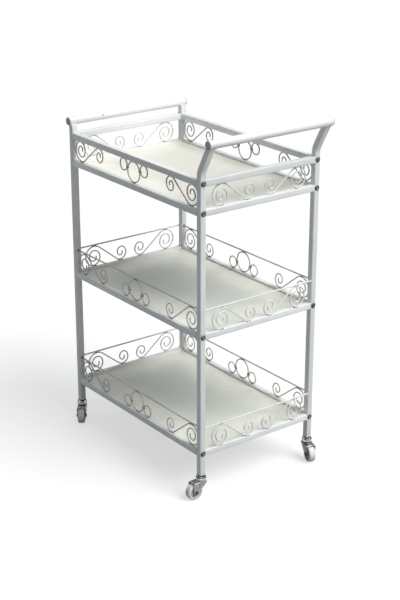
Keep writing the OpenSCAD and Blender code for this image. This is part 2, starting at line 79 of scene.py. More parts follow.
class Finish:
    """A material whose pattern is built up in object coordinates."""

    def __init__(self, name, color, roughness, metallic=0.0):
        self.material = bpy.data.materials.new(name)
        self.material.use_nodes = True
        self.tree = self.material.node_tree
        self.shader = self.tree.nodes["Principled BSDF"]
        self.shader.inputs["Base Color"].default_value = (*color, 1)
        self.shader.inputs["Roughness"].default_value = roughness
        self.shader.inputs["Metallic"].default_value = metallic
        self.place = self.tree.nodes.new("ShaderNodeTexCoord").outputs["Object"]

    def node(self, kind, inputs=(), **settings):
        made = self.tree.nodes.new(kind)
        for key, value in settings.items():
            setattr(made, key, value)
        for key, value in dict(inputs).items():
            if isinstance(value, bpy.types.NodeSocket):
                self.tree.links.new(value, made.inputs[key])
            else:
                made.inputs[key].default_value = value
        return made

    def noise(self, scale, detail=3.0, roughness=0.5, place=None):
        inputs = {"Vector": place or self.place, "Scale": scale, "Detail": detail, "Roughness": roughness}
        return self.node("ShaderNodeTexNoise", inputs).outputs["Fac"]

    def specks(self, scale, reach):
        """1 inside small round specks of size reach, 0 outside."""
        cells = self.node("ShaderNodeTexVoronoi", {"Vector": self.place, "Scale": scale})
        return self.between(cells.outputs["Distance"], reach, reach * 0.6)

    def between(self, value, low, high, out_low=0.0, out_high=1.0):
        inputs = {"Value": value, "From Min": low, "From Max": high, "To Min": out_low, "To Max": out_high}
        return self.node("ShaderNodeMapRange", inputs, interpolation_type="SMOOTHSTEP").outputs["Result"]

    def math(self, operation, a, b=0.0):
        return self.node("ShaderNodeMath", {0: a, 1: b}, operation=operation).outputs[0]

    def stretched(self, scale):
        return self.node("ShaderNodeMapping", {"Vector": self.place, "Scale": scale}).outputs["Vector"]

    def blend(self, factor, first, second):
        made = self.node("ShaderNodeMix", data_type="RGBA")
        self.tree.links.new(factor, made.inputs["Factor"])
        for socket, value in zip((made.inputs[6], made.inputs[7]), (first, second)):
            if isinstance(value, bpy.types.NodeSocket):
                self.tree.links.new(value, socket)
            else:
                socket.default_value = (*value, 1)
        return made.outputs[2]

    def color(self, value):
        self.tree.links.new(value, self.shader.inputs["Base Color"])

    def roughness(self, value):
        self.tree.links.new(value, self.shader.inputs["Roughness"])

    def bump(self, height, strength, distance):
        inputs = {"Height": height, "Strength": strength, "Distance": distance}
        made = self.node("ShaderNodeBump", inputs)
        old = self.shader.inputs["Normal"].links
        if old:
            self.tree.links.new(old[0].from_socket, made.inputs["Normal"])
        self.tree.links.new(made.outputs["Normal"], self.shader.inputs["Normal"])


def corner_mask(finish, near, far):
    """1 on the rounded corners of square tube, 0 on its flats, read from the tube's cross-section."""
    section = finish.node("ShaderNodeAttribute", attribute_name="section").outputs["Vector"]
    parts = finish.node("ShaderNodeSeparateXYZ", {"Vector": section}).outputs
    u = finish.math("ABSOLUTE", parts["X"])
    v = finish.math("ABSOLUTE", parts["Y"])
    return finish.between(finish.math("MINIMUM", u, v), near, far)


def powder_coat(name, color, soiled, tubes=False, knocks=()):
    """Sprayed coat with fine orange peel, faint soiling, and small chips down to the primer.

    knocks are (place, radius) pairs of bare spots in known places.
    """
    made = Finish(name, color, 0.38)
    broad = made.noise(7.0, 4.0, 0.6)
    paint = made.blend(made.between(broad, 0.35, 0.75), color, soiled)
    if tubes:
        corner = corner_mask(made, TUBE / 2 - 0.0016, TUBE / 2 - 0.0004)
        worn = made.math("MULTIPLY", corner, made.between(made.noise(95.0, 5.0, 0.7), 0.60, 0.68))
        paint = made.blend(worn, paint, (0.33, 0.32, 0.30))
    chips = made.math("MULTIPLY", made.specks(38.0, 0.035), made.between(made.noise(11.0, 2.0), 0.56, 0.6))
    paint = made.blend(chips, paint, (0.16, 0.12, 0.09))
    for spot, radius in knocks:
        reach = made.node("ShaderNodeVectorMath", {0: made.place, 1: spot}, operation="DISTANCE")
        away = reach.outputs["Value"]
        ragged = made.math("ADD", away, made.math("MULTIPLY", made.noise(400.0), radius))
        paint = made.blend(made.between(ragged, radius * 1.6, radius * 1.3), paint, (0.10, 0.08, 0.06))
    made.color(paint)
    made.roughness(made.between(made.noise(45.0, 3.0), 0.3, 0.8, 0.28, 0.50))
    made.bump(made.noise(620.0, 2.0), 0.12, 0.0004)
    made.bump(made.noise(60.0, 2.0), 0.10, 0.0006)
    made.shader.inputs["Coat Weight"].default_value = 0.15
    made.shader.inputs["Coat Roughness"].default_value = 0.18
    return made.material


def edge_distance(finish, node):
    """Distance inwards from the nearest side of a node's box, seen from above."""
    low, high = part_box(node)
    parts = finish.node("ShaderNodeSeparateXYZ", {"Vector": finish.place}).outputs
    gaps = []
    for axis in range(2):
        middle, half = (low[axis] + high[axis]) / 2, (high[axis] - low[axis]) / 2
        offset = finish.math("ABSOLUTE", finish.math("SUBTRACT", parts[axis], middle))
        gaps.append(finish.math("SUBTRACT", half, offset))
    return finish.math("MINIMUM", *gaps)


def sheet_paint(name, cream, painted_middle_shade):
    """Paint of the trays: cream by the edges, darker grey in the middle as painted shade, with smudges and
    fine scratches.
    """
    made = Finish(name, cream, 0.42)
    smudge = made.noise(5.0, 5.0, 0.65)
    uneven = made.math("MULTIPLY", smudge, 0.10)
    inward = made.math("ADD", edge_distance(made, "middle_tray"), uneven)
    # Painted shade: the middle of the tray, away from its edges, is darker than the cream edges.
    paint = made.blend(made.between(inward, 0.065, 0.150), cream, painted_middle_shade)
    paint = made.blend(made.between(smudge, 0.45, 0.80, 0.0, 0.5), paint, tuple(0.88 * c for c in painted_middle_shade))
    streak = made.noise(30.0, 4.0, 0.6, made.stretched((0.12, 1.0, 1.0)))
    paint = made.blend(made.between(streak, 0.55, 0.95, 0.0, 0.35), paint, (0.50, 0.49, 0.44))
    scratch = made.noise(260.0, 2.0, 0.5, made.stretched((0.05, 1.0, 1.0)))
    made.color(made.blend(made.between(scratch, 0.70, 0.76, 0.0, 0.4), paint, (0.45, 0.44, 0.41)))
    made.roughness(made.between(smudge, 0.3, 0.8, 0.34, 0.56))
    made.bump(made.noise(480.0, 2.0), 0.10, 0.0004)
    made.bump(scratch, 0.05, 0.0003)
    made.bump(made.noise(6.0, 1.0), 0.25, 0.0030)
    return made.material


def metal(name, color, dull, roughness, metallic, grain=220.0):
    """Plated or oxidised metal with cloudy patches, fine grain and dark specks."""
    made = Finish(name, color, roughness, metallic)
    cloud = made.noise(90.0, 5.0, 0.65)
    finish = made.blend(made.between(cloud, 0.38, 0.72), color, dull)
    specks = made.between(made.noise(520.0, 3.0, 0.7), 0.66, 0.74, 0.0, 0.5)
    made.color(made.blend(specks, finish, tuple(0.35 * c for c in dull)))
    made.roughness(made.between(cloud, 0.3, 0.8, roughness, min(1.0, roughness + 0.22)))
    made.bump(made.noise(grain * 4, 3.0), 0.12, 0.0003)
    return made.material


def moulded(name, color, worn, roughness, grain=700.0):
    """Moulded plastic or rubber with a fine matte grain and scuffed patches."""
    made = Finish(name, color, roughness)
    scuff = made.noise(120.0, 5.0, 0.7)
    made.color(made.blend(made.between(scuff, 0.50, 0.75), color, worn))
    made.roughness(made.between(scuff, 0.3, 0.8, roughness, min(1.0, roughness + 0.2)))
    made.bump(made.noise(grain, 3.0), 0.2, 0.0003)
    return made.material


WHITE = (0.79, 0.82, 0.81)
WHITE_SOILED = (0.71, 0.73, 0.72)
FRAME_PAINT = powder_coat("frame_powder_coat", WHITE, WHITE_SOILED, tubes=True)
FAR_BAR = centre("far_bar")
BAR_KNOCKS = [(FAR_BAR + Vector((0.898 * BAR_R, -0.080, 0.440 * BAR_R)), 0.0022),
              (FAR_BAR + Vector((0.898 * BAR_R, -0.071, 0.440 * BAR_R)), 0.0010)]
BAR_PAINT = powder_coat("bar_powder_coat", (0.84, 0.85, 0.83), (0.78, 0.78, 0.75), knocks=BAR_KNOCKS)
WIRE_PAINT = powder_coat("wire_powder_coat", (0.78, 0.80, 0.78), (0.62, 0.61, 0.58))
# Painted shade: the wires of the long sides get darker copies of the same white coat, darkest on the top
# tier.
SIDE_WIRE_COAT_PAINTED_SHADE = powder_coat("side_wire_coat_painted_shade", (0.70, 0.70, 0.66), (0.46, 0.44, 0.39))
TOP_WIRE_COAT_PAINTED_SHADE = powder_coat("top_wire_coat_painted_shade", (0.54, 0.53, 0.50), (0.30, 0.27, 0.23))
# Both tray paints carry painted shade in their middles; the lower trays' middles are painted darker, as
# shade from the tray above.
LOWER_TRAYS_COAT_PAINTED_SHADE = sheet_paint("tray_paint", (0.85, 0.84, 0.76), (0.64, 0.675, 0.62))
TOP_TRAY_COAT_PAINTED_SHADE = sheet_paint("top_tray_coat_painted_shade", (0.82, 0.81, 0.73), (0.70, 0.695, 0.63))
# Near-black weld lumps: partly burnt weld metal, partly painted contact shade where the wires meet the
# rails.
WELD_AND_PAINTED_SHADE = metal("burnt_weld_and_painted_shade", (0.075, 0.068, 0.060), (0.030, 0.027, 0.024), 0.6, 0.3)
BOLT_METAL = metal("bolt_dark_nickel", (0.075, 0.068, 0.062), (0.022, 0.020, 0.018), 0.22, 0.8)
# Painted highlight: a brighter metal for the socket faces, lighting up the middle of each dark bolt head.
SOCKET_PAINTED_HIGHLIGHT = metal("bolt_socket_painted_highlight", (0.26, 0.26, 0.25), (0.11, 0.11, 0.10), 0.25, 0.9)
ZINC = metal("bright_zinc_plate", (0.72, 0.73, 0.74), (0.52, 0.53, 0.54), 0.26, 0.85)
FORK_ZINC = metal("dull_zinc_plate", (0.36, 0.375, 0.37), (0.14, 0.145, 0.14), 0.34, 0.8)
TARNISHED = metal("tarnished_zinc_plate", (0.24, 0.24, 0.22), (0.060, 0.058, 0.050), 0.30, 0.8)
STEEL = metal("polished_steel", (0.70, 0.71, 0.73), (0.55, 0.56, 0.57), 0.16, 1.0)
RIVET_STEEL = metal("darkened_rivet", (0.070, 0.068, 0.064), (0.020, 0.019, 0.018), 0.25, 0.8)
BLACK_OXIDE = metal("black_oxide", (0.05, 0.05, 0.05), (0.025, 0.025, 0.025), 0.5, 0.6)
BLACK_PLASTIC = moulded("black_plastic", (0.020, 0.020, 0.021), (0.05, 0.05, 0.05), 0.55)
TREAD = moulded("grey_tread", (0.74, 0.76, 0.75), (0.58, 0.59, 0.57), 0.62)
CAP_PLASTIC = moulded("grey_cap_plastic", (0.42, 0.43, 0.43), (0.28, 0.28, 0.28), 0.5)
HUB = moulded("grey_hub", (0.45, 0.47, 0.46), (0.33, 0.34, 0.33), 0.55)

# ---------------------------------------------------------------- mesh helpers


def turn(degrees, axis):
    return Matrix.Rotation(math.radians(degrees), 4, axis)


def moved(x=0.0, y=0.0, z=0.0):
    return Matrix.Translation((x, y, z))


def rounded_square(bm, side, corner, matrix):
    """Closed loop of edges in the shape of a square tube's outside.

    Each vertex keeps its place in the cross-section, which the worn corners read.
    """
    layer = bm.verts.layers.float_vector.new("section")
    sharp = bmesh.ops.create_grid(bm, x_segments=1, y_segments=1, size=side / 2)["verts"]
    bmesh.ops.bevel(bm, geom=sharp, offset=corner, affect="VERTICES", segments=4, profile=0.5, material=-1)
    verts = list(bm.verts)
    for v in verts:
        v[layer] = (v.co.x, v.co.y, 0)
    bmesh.ops.transform(bm, matrix=matrix, verts=verts)
    bmesh.ops.delete(bm, geom=list(bm.faces), context="FACES_ONLY")
    return list(bm.edges)


def circle(bm, r, segments, matrix):
    verts = bmesh.ops.create_circle(bm, cap_ends=False, segments=segments, radius=r, matrix=matrix)["verts"]
    return list({e for v in verts for e in v.link_edges})


def only(kind, geometry):
    return [g for g in geometry if isinstance(g, kind)]


def extruded(bm, edges, vector):
    geometry = bmesh.ops.extrude_edge_only(bm, edges=edges)["geom"]
    bmesh.ops.translate(bm, vec=vector, verts=only(bmesh.types.BMVert, geometry))
    return only(bmesh.types.BMEdge, geometry)


def swung(bm, edges, cent, axis, degrees, steps):
    """Sweeps edges through an arc and gives the last edges."""
    out = bmesh.ops.spin(bm, geom=edges, cent=cent, axis=axis, angle=math.radians(degrees), steps=steps,
                         use_duplicate=False)
    return only(bmesh.types.BMEdge, out["geom_last"])


def rounded_end(bm, edges, outward, r, steps=3):
    """Closes the end of a round wire or bar with a dome of radius r."""
    verts = list({v for e in edges for v in e.verts})
    middle = sum((v.co for v in verts), Vector()) / len(verts)
    width = (verts[0].co - middle).length
    for i in range(1, steps + 1):
        a = math.pi / 2 * i / (steps + 1)
        geometry = bmesh.ops.extrude_edge_only(bm, edges=edges)["geom"]
        ring = only(bmesh.types.BMVert, geometry)
        edges = only(bmesh.types.BMEdge, geometry)
        here = sum((v.co for v in ring), Vector()) / len(ring)
        target = middle + outward * r * math.sin(a)
        share = (width - r * (1 - math.cos(a))) / (ring[0].co - here).length
        for v in ring:
            v.co = target + (v.co - here) * share
    bmesh.ops.edgeloop_fill(bm, edges=edges)


def revolved(bm, profile, segments=48):
    """Full turn about Z of a profile of (radius, height) points."""
    verts = [bm.verts.new((r, 0, z)) for r, z in profile]
    edges = [bm.edges.new(pair) for pair in zip(verts, verts[1:])]
    bmesh.ops.spin(bm, geom=verts + edges, cent=(0, 0, 0), axis=(0, 0, 1), angle=2 * math.pi, steps=segments,
                   use_merge=True, use_duplicate=False)
    bmesh.ops.remove_doubles(bm, verts=bm.verts, dist=1e-7)


def arc(cx, cz, r, start, end, steps):
    """Profile points on a circle, from the start angle to the end angle in degrees."""
    angles = [math.radians(start + (end - start) * i / steps) for i in range(steps + 1)]
    return [(cx + r * math.cos(a), cz + r * math.sin(a)) for a in angles]


def to_mesh(name, bm, *materials):
    bmesh.ops.recalc_face_normals(bm, faces=bm.faces)
    mesh = bpy.data.meshes.new(name)
    bm.to_mesh(mesh)
    bm.free()
    for m in materials:
        mesh.materials.append(m)
    return mesh


def stamp(bm, mesh, matrix):
    """Adds a copy of a mesh, placed by matrix."""
    before = len(bm.verts)
    bm.from_mesh(mesh)
    bm.verts.ensure_lookup_table()
    bmesh.ops.transform(bm, matrix=matrix, verts=bm.verts[before:])


def piece(name, bm, materials, nodes, body=BODY, smooth=35):
    mesh = to_mesh(name, bm, *materials)
    mesh.shade_smooth()
    mesh.set_sharp_from_angle(angle=math.radians(smooth))
    made = bpy.data.objects.new(name, mesh)
    bpy.context.scene.collection.objects.link(made)
    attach(made, body)
    if nodes:
        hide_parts(*nodes)
    return made


def walled(made, thickness, rim=0.0003):
    """Gives an open skin its sheet thickness inwards, and eases the cut rims."""
    wall = made.modifiers.new("wall", "SOLIDIFY")
    wall.thickness = thickness
    wall.offset = -1
    ease = made.modifiers.new("rim", "BEVEL")
    ease.width = rim
    ease.segments = 2
    ease.limit_method = "ANGLE"
    ease.angle_limit = math.radians(50)
    ease.harden_normals = False


def solid(name, bm):
    """A bare object for a boolean, which boolean() removes again."""
    made = bpy.data.objects.new(name, to_mesh(name, bm))
    bpy.context.scene.collection.objects.link(made)
    return made


def boolean(target, tool, operation):
    """Gives the bmesh of target cut by or common with tool, and removes both."""
    cut = target.modifiers.new("cut", "BOOLEAN")
    cut.operation = operation
    cut.solver = "EXACT"
    cut.object = tool
    graph = bpy.context.evaluated_depsgraph_get()
    result = bmesh.new()
    result.from_object(target, graph)
    for used in (target, tool):
        mesh = used.data
        bpy.data.objects.remove(used)
        bpy.data.meshes.remove(mesh)
    return result


def lump(bm, place, r, seed, flat=0.7):
    """Small uneven blob of weld metal."""
    made = bmesh.ops.create_icosphere(bm, subdivisions=2, radius=r)["verts"]
    for v in made:
        v.co *= 1 + 0.25 * noise.noise(v.co / r + Vector((seed, 0, 0)))
        v.co.z *= flat
    bmesh.ops.translate(bm, vec=place, verts=made)


# ---------------------------------------------------------------- legs, rails and bars


def leg(corner):
    """Square tube, bent outwards above the highest rails and cut to sit on its bar."""
    end, side = corner.split("_")
    way = 1 if end == "push" else -1
    bar = centre(f"{end}_bar")
    x, y = LEG_X[end], LEG_Y * (1 if side == "right" else -1)
    out, up = abs(bar.x - x), bar.z - BEND_START
    bend = math.atan2(-up, out - BEND_R) + math.acos(-BEND_R / math.hypot(out - BEND_R, up))
    slant = math.hypot(out - BEND_R * (1 - math.cos(bend)), up - BEND_R * math.sin(bend))
    bm = bmesh.new()
    edges = rounded_square(bm, TUBE, TUBE_CORNER, moved(x, y, LEG_FOOT))
    edges = extruded(bm, edges, (0, 0, BEND_START - LEG_FOOT))
    edges = swung(bm, edges, (x + way * BEND_R, y, BEND_START), (0, way, 0), math.degrees(bend), 16)
    stop = slant - BAR_R + 0.0032
    extruded(bm, edges, (way * stop * math.sin(bend), 0, stop * math.cos(bend)))
    made = piece(f"leg_{corner}_tube", bm, [FRAME_PAINT], [f"leg_{corner}"])
    walled(made, TUBE_WALL)
    return Vector((way * math.sin(bend), 0, math.cos(bend)))


def bar_welds(end, lean):
    """Bead around the cut end of each leg, where it meets the bar."""
    bar = centre(f"{end}_bar")
    across = Vector((0, 1, 0)).cross(lean)
    bm = bmesh.new()
    for side in ENDS:
        steps = 56
        for i in range(steps):
            a = 2 * math.pi * i / steps
            widest = max(abs(math.cos(a)), abs(math.sin(a)))
            u = TUBE / 2 * math.cos(a) / widest
            v = TUBE / 2 * math.sin(a) / widest
            depth = math.sqrt(BAR_R ** 2 - min(u * u, BAR_R ** 2))
            spot = bar + across * u - lean * depth + Vector((0, side * LEG_Y + v - bar.y, 0))
            lump(bm, spot, 0.0012, i * 0.37 + side, flat=1.0)
    piece(f"{end}_bar_welds", bm, [BAR_PAINT], [], smooth=60)


def rail(node, along):
    """Square tube rail; the long ones stop just short of the legs they are bolted to."""
    low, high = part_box(node)
    middle = (low + high) / 2
    length = (high - low)[along] - 2 * (JOINT_GAP if along == 0 else 0)
    start = middle.copy()
    start[along] -= length / 2
    face = turn(90, "Y") if along == 0 else turn(-90, "X")
    bm = bmesh.new()
    edges = rounded_square(bm, TUBE, TUBE_CORNER, Matrix.Translation(start) @ face)
    step = Vector((0, 0, 0))
    step[along] = length
    extruded(bm, edges, step)
    walled(piece(f"{node}_tube", bm, [FRAME_PAINT], [node]), TUBE_WALL)


def rail_welds(end):
    """Fillets above and below each welded end of the short rails."""
    bm = bmesh.new()
    for tier in ("top", "tray", "middle", "bottom"):
        low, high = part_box(f"{tier}_rail_{end}")
        x = (low.x + high.x) / 2
        for y in (low.y, high.y):
            for z in (low.z, high.z):
                for i in range(13):
                    spot = Vector((x + (i - 6) * TUBE / 13, y, z))
                    lump(bm, spot, 0.0011, i * 0.53 + x + y + z, flat=1.0)
    piece(f"{end}_rail_welds", bm, [FRAME_PAINT], [], smooth=60)


def bar(end):
    """Round hand bar, a hollow tube; the domed caps on its ends come from bar_plugs()."""
    low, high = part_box(f"{end}_bar")
    middle = (low + high) / 2
    half = (high.y - low.y) / 2
    bm = bmesh.new()
    edges = circle(bm, BAR_R, 48, Matrix.Translation((middle.x, low.y, middle.z)) @ turn(90, "X"))
    extruded(bm, edges, (0, 2 * half, 0))
    walled(piece(f"{end}_bar_tube", bm, [BAR_PAINT], [f"{end}_bar"]), 0.0015, 0.0004)


def bar_plugs():
    """Domed caps that close both bars."""
    bm = bmesh.new()
    y_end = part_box("bar_end_plugs")[1].y
    for end in ("push", "far"):
        low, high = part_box(f"{end}_bar")
        middle = (low + high) / 2
        for way in ENDS:
            cap = bmesh.new()
            crown = y_end - high.y
            neck = 0.012
            profile = [(0.0001, -neck), (BAR_R - 0.0017, -neck), (BAR_R - 0.0017, 0.0001)]
            profile += [(BAR_R - 0.0001, 0.0001)] + arc(BAR_R - crown, 0, crown, 0, 75, 6)
            profile += [(BAR_R * 0.5, crown * 0.99), (0.0001, crown)]
            revolved(cap, profile, 48)
            mesh = to_mesh("cap", cap)
            stamp(bm, mesh, Matrix.Translation((middle.x, way * high.y, middle.z)) @ turn(-90 * way, "X"))
            bpy.data.meshes.remove(mesh)
    piece("bar_end_caps", bm, [CAP_PLASTIC], ["bar_end_plugs"])


# ---------------------------------------------------------------- wire galleries

SCROLL_LEAN = 38.5
LARGE_STEP = 0.0056
LARGE_TURNS = 4
LARGE_LAST = 150
SMALL_STEP = 0.0055
SMALL_TURNS = 3
SMALL_LAST = 160
SMALL_SCROLL_R = 0.0175
SMALL_RING_R = 0.0158
END_CENTRE_SHARE = 0.40
SIDE_SCROLL_GAP = 0.0012
SCROLL_WIRE_D = 0.0034
WELD_GAP = 0.0001
WIRE_SIDES = 14


WELD_LUMP_R = 0.0021
WELD_OFFSET = 0.0030


class Gallery:
    """Sizes of the scrolls that fill a clear height."""

    def __init__(self, height):
        self.height = height
        self.ring_r = (height - SCROLL_WIRE_D) / 2 - WELD_GAP
        lean = math.radians(SCROLL_LEAN)
        self.large_r = self.ring_r + LARGE_STEP * (1 - math.cos(lean)) / 2
        both = self.large_r + SMALL_SCROLL_R
        free = height - SCROLL_WIRE_D - 2 * WELD_GAP
        self.straight = (free - both * (1 - math.cos(lean))) / math.sin(lean)
        self.span = self.straight * math.cos(lean) + both * math.sin(lean)


def scroll(bm, edges, r, step, turns, last):
    """Winds a wire inwards in clockwise half turns of ever smaller radius, and rounds its end."""
    for i in range(turns):
        cent = Vector((r + (i % 2) * step, 0, 0))
        degrees = 180 if i < turns - 1 else last
        edges = swung(bm, edges, cent, (0, 0, -1), degrees, round(degrees / 9))
    verts = list({v for e in edges for v in e.verts})
    away = sum((v.co for v in verts), Vector()) / len(verts) - cent
    outward = Vector((away.y, -away.x, 0)).normalized()
    rounded_end(bm, edges, outward, SCROLL_WIRE_D / 2 * 0.9)


def s_scroll_mesh(sizes):
    """One S scroll lying in XY; its straight stretch starts at the origin and runs along -Y."""
    bm = bmesh.new()
    start = circle(bm, SCROLL_WIRE_D / 2, WIRE_SIDES, turn(90, "X"))
    scroll(bm, start, sizes.large_r, LARGE_STEP, LARGE_TURNS, LARGE_LAST)
    low = extruded(bm, start, (0, -sizes.straight, 0))
    here = moved(0, -sizes.straight, 0) @ turn(180, "Z")
    bmesh.ops.transform(bm, matrix=here.inverted(), verts=bm.verts)
    scroll(bm, low, SMALL_SCROLL_R, SMALL_STEP, SMALL_TURNS, SMALL_LAST)
    bmesh.ops.transform(bm, matrix=here, verts=bm.verts)
    return to_mesh("s_scroll", bm)


def ring_mesh(r):
    bm = bmesh.new()
    edges = circle(bm, SCROLL_WIRE_D / 2, WIRE_SIDES, moved(r) @ turn(90, "X"))
    bmesh.ops.spin(bm, geom=edges, cent=(0, 0, 0), axis=(0, 0, 1), angle=2 * math.pi, steps=56,
                   use_merge=True, use_duplicate=False)
    bmesh.ops.remove_doubles(bm, verts=bm.verts, dist=1e-6)
    return to_mesh("ring", bm)


def gallery(node, plane, sizes, flip, end_side, bar_wire):
    """Wires of one side: two S scrolls, the rings on a long side, and the straight wire above, if any."""
    h = sizes.height
    edge = WELD_GAP + SCROLL_WIRE_D / 2
    upside = moved(0, h, 0) @ Matrix.Scale(-1, 4, (0, 1, 0)) if flip else Matrix.Identity(4)
    base = plane @ upside
    if end_side:
        inner = LEG_Y - TUBE / 2
        spare = inner - sizes.large_r - sizes.span - SMALL_SCROLL_R - SCROLL_WIRE_D
        leg_gap = (1 - END_CENTRE_SHARE) * spare
    else:
        inner = (LEG_X["push"] - LEG_X["far"]) / 2 - TUBE / 2
        leg_gap = SIDE_SCROLL_GAP
    large_x = inner - leg_gap - SCROLL_WIRE_D / 2 - sizes.large_r
    bm = bmesh.new()
    spots = []
    s_mesh = s_scroll_mesh(sizes)
    local = moved(0, sizes.large_r + edge, 0) @ turn(-90 - SCROLL_LEAN, "Z")
    local = local @ Matrix.Scale(-1, 4, (1, 0, 0)) @ moved(-sizes.large_r)
    for way in ENDS:
        mirror = Matrix.Scale(way, 4, (1, 0, 0)) if way < 0 else Matrix.Identity(4)
        stamp(bm, s_mesh, base @ mirror @ moved(large_x) @ local)
        spots += [(way * large_x, 0.0), (way * large_x, h), (way * (large_x - sizes.span), h)]
    bpy.data.meshes.remove(s_mesh)
    if not end_side:
        small = SMALL_RING_R - SCROLL_WIRE_D / 2
        rise = h / 2 - WELD_GAP - SMALL_RING_R
        reach = math.sqrt((sizes.ring_r + small + SCROLL_WIRE_D + WELD_GAP) ** 2 - rise ** 2)
        ring_y = h / 2 + rise
        for r, x, y in [(sizes.ring_r, 0, h / 2), (small, -reach, ring_y), (small, reach, ring_y)]:
            mesh = ring_mesh(r)
            stamp(bm, mesh, base @ moved(x, y))
            bpy.data.meshes.remove(mesh)
        touch = sizes.ring_r + SCROLL_WIRE_D / 2
        spots += [(0, 0.0), (0, h), (-reach, h), (reach, h)]
        apart = math.hypot(reach, rise)
        spots += [(way * touch * reach / apart, h / 2 + touch * rise / apart) for way in ENDS]
    if bar_wire:
        low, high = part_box(node)
        along = 1 if end_side else 0
        r = size(node)[1 - along] / 2
        start = Vector((0, 0, high.z - r))
        start[1 - along] = (low[1 - along] + high[1 - along]) / 2
        start[along] = low[along]
        face = turn(-90, "X") if end_side else turn(90, "Y")
        edges = circle(bm, r, 16, Matrix.Translation(start) @ face)
        step = Vector((0, 0, 0))
        step[along] = (high - low)[along]
        far = extruded(bm, edges, step)
        for ring in (edges, far):
            bmesh.ops.edgeloop_fill(bm, edges=ring)
    # The long-side wires take the darker coats, which are painted shade; the end wires take the plain coat.
    paint = WIRE_PAINT if end_side else SIDE_WIRE_COAT_PAINTED_SHADE if bar_wire else TOP_WIRE_COAT_PAINTED_SHADE
    piece(f"{node}_wires", bm, [paint], [node], smooth=50)
    # Dark lumps either side of each touching spot: burnt weld colour and painted contact shade where the
    # wires meet the rails and each other.
    welds = bmesh.new()
    for i, (x, y) in enumerate(spots):
        for offset in ENDS:
            at = base @ Vector((x + offset * WELD_OFFSET, y, 0))
            lump(welds, at, WELD_LUMP_R, i * 1.7 + offset + h * 100, flat=0.8)
    piece(f"{node}_welds", welds, [WELD_AND_PAINTED_SHADE], [], smooth=60)


def galleries():
    top = Gallery(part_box("top_rail_left")[0].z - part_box("tray_rail_left")[1].z)
    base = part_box("tray_rail_left")[1].z
    for side, way in zip(SIDES, ENDS):
        plane = moved(MIDDLE_X, way * LEG_Y, base) @ turn(90, "X")
        gallery(f"top_gallery_{side}", plane, top, False, False, False)
    for end in LEG_X:
        plane = moved(LEG_X[end], 0, base) @ turn(90, "Z") @ turn(90, "X")
        gallery(f"top_gallery_{end}", plane, top, True, True, False)
    for tier in ("middle", "bottom"):
        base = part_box(f"{tier}_rail_left")[1].z
        low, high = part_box(f"{tier}_gallery_left")
        lower = Gallery(high.z - (high.y - low.y) - base)
        for side, way in zip(SIDES, ENDS):
            plane = moved(MIDDLE_X, way * LEG_Y, base) @ turn(90, "X")
            gallery(f"{tier}_gallery_{side}", plane, lower, True, False, True)
        for end in LEG_X:
            x = centre(f"{tier}_gallery_{end}").x
            plane = moved(x, 0, base) @ turn(90, "Z") @ turn(90, "X")
            gallery(f"{tier}_gallery_{end}", plane, lower, True, True, True)


# ---------------------------------------------------------------- trays


def tray(tier):
    """Sheet tray with a folded edge and a soft bend around its floor."""
    low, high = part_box(f"{tier}_tray")
    bm = bmesh.new()
    place = Matrix.Translation((low + high) / 2) @ Matrix.Diagonal((*(high - low), 1))
    bmesh.ops.create_cube(bm, size=1, matrix=place)
    top = [f for f in bm.faces if f.normal.z > 0.9]
    bmesh.ops.delete(bm, geom=top, context="FACES_ONLY")
    folds = [e for e in bm.edges if len(e.link_faces) == 2]
    bmesh.ops.bevel(bm, geom=folds, offset=0.0022, affect="EDGES", segments=5, profile=0.5, material=-1)
    # The lower trays take the copy with the darker painted shade.
    paint = TOP_TRAY_COAT_PAINTED_SHADE if tier == "top" else LOWER_TRAYS_COAT_PAINTED_SHADE
    walled(piece(f"{tier}_tray_sheet", bm, [paint], [f"{tier}_tray"], smooth=30), 0.001, 0.0002)


# ---------------------------------------------------------------- bolts

BOLT_HEAD_R = 0.00625
BOLT_HEAD_H = 0.004
BOLT_SHANK_R = 0.003
BOLT_SHANK_L = 0.020
SOCKET_R = 0.0034


def bolt_mesh():
    """Domed bolt with a hexagonal socket, head up, seated at the origin."""
    r, h = BOLT_HEAD_R, BOLT_HEAD_H
    rim = 0.35 * h
    dome = (r ** 2 + (h - rim) ** 2) / (2 * (h - rim))
    reach = math.degrees(math.asin(r / dome))
    bm = bmesh.new()
    profile = [(0.00001, -BOLT_SHANK_L), (BOLT_SHANK_R, -BOLT_SHANK_L), (BOLT_SHANK_R, 0)]
    profile += [(r - 0.0003, 0), (r, 0.0003)]
    profile += arc(0, h - dome, dome, 90 - reach, 89.9, 10)
    revolved(bm, profile, 40)
    bmesh.ops.holes_fill(bm, edges=[e for e in bm.edges if e.is_boundary], sides=0)
    tool = bmesh.new()
    bmesh.ops.create_circle(tool, cap_ends=True, segments=6, radius=SOCKET_R)
    floor = bmesh.ops.extrude_face_region(tool, geom=list(tool.faces))["geom"]
    bmesh.ops.translate(tool, vec=(0, 0, 0.006), verts=only(bmesh.types.BMVert, floor))
    bmesh.ops.translate(tool, vec=(0, 0, h * 0.45), verts=tool.verts)
    bm = boolean(solid("bolt_blank", bm), solid("key", tool), "DIFFERENCE")
    # The socket faces get the brighter metal, a painted highlight in the middle of the head.
    for f in bm.faces:
        spot = f.calc_center_median()
        f.material_index = 1 if math.hypot(spot.x, spot.y) < SOCKET_R and spot.z > 0.001 else 0
    return to_mesh("bolt", bm)


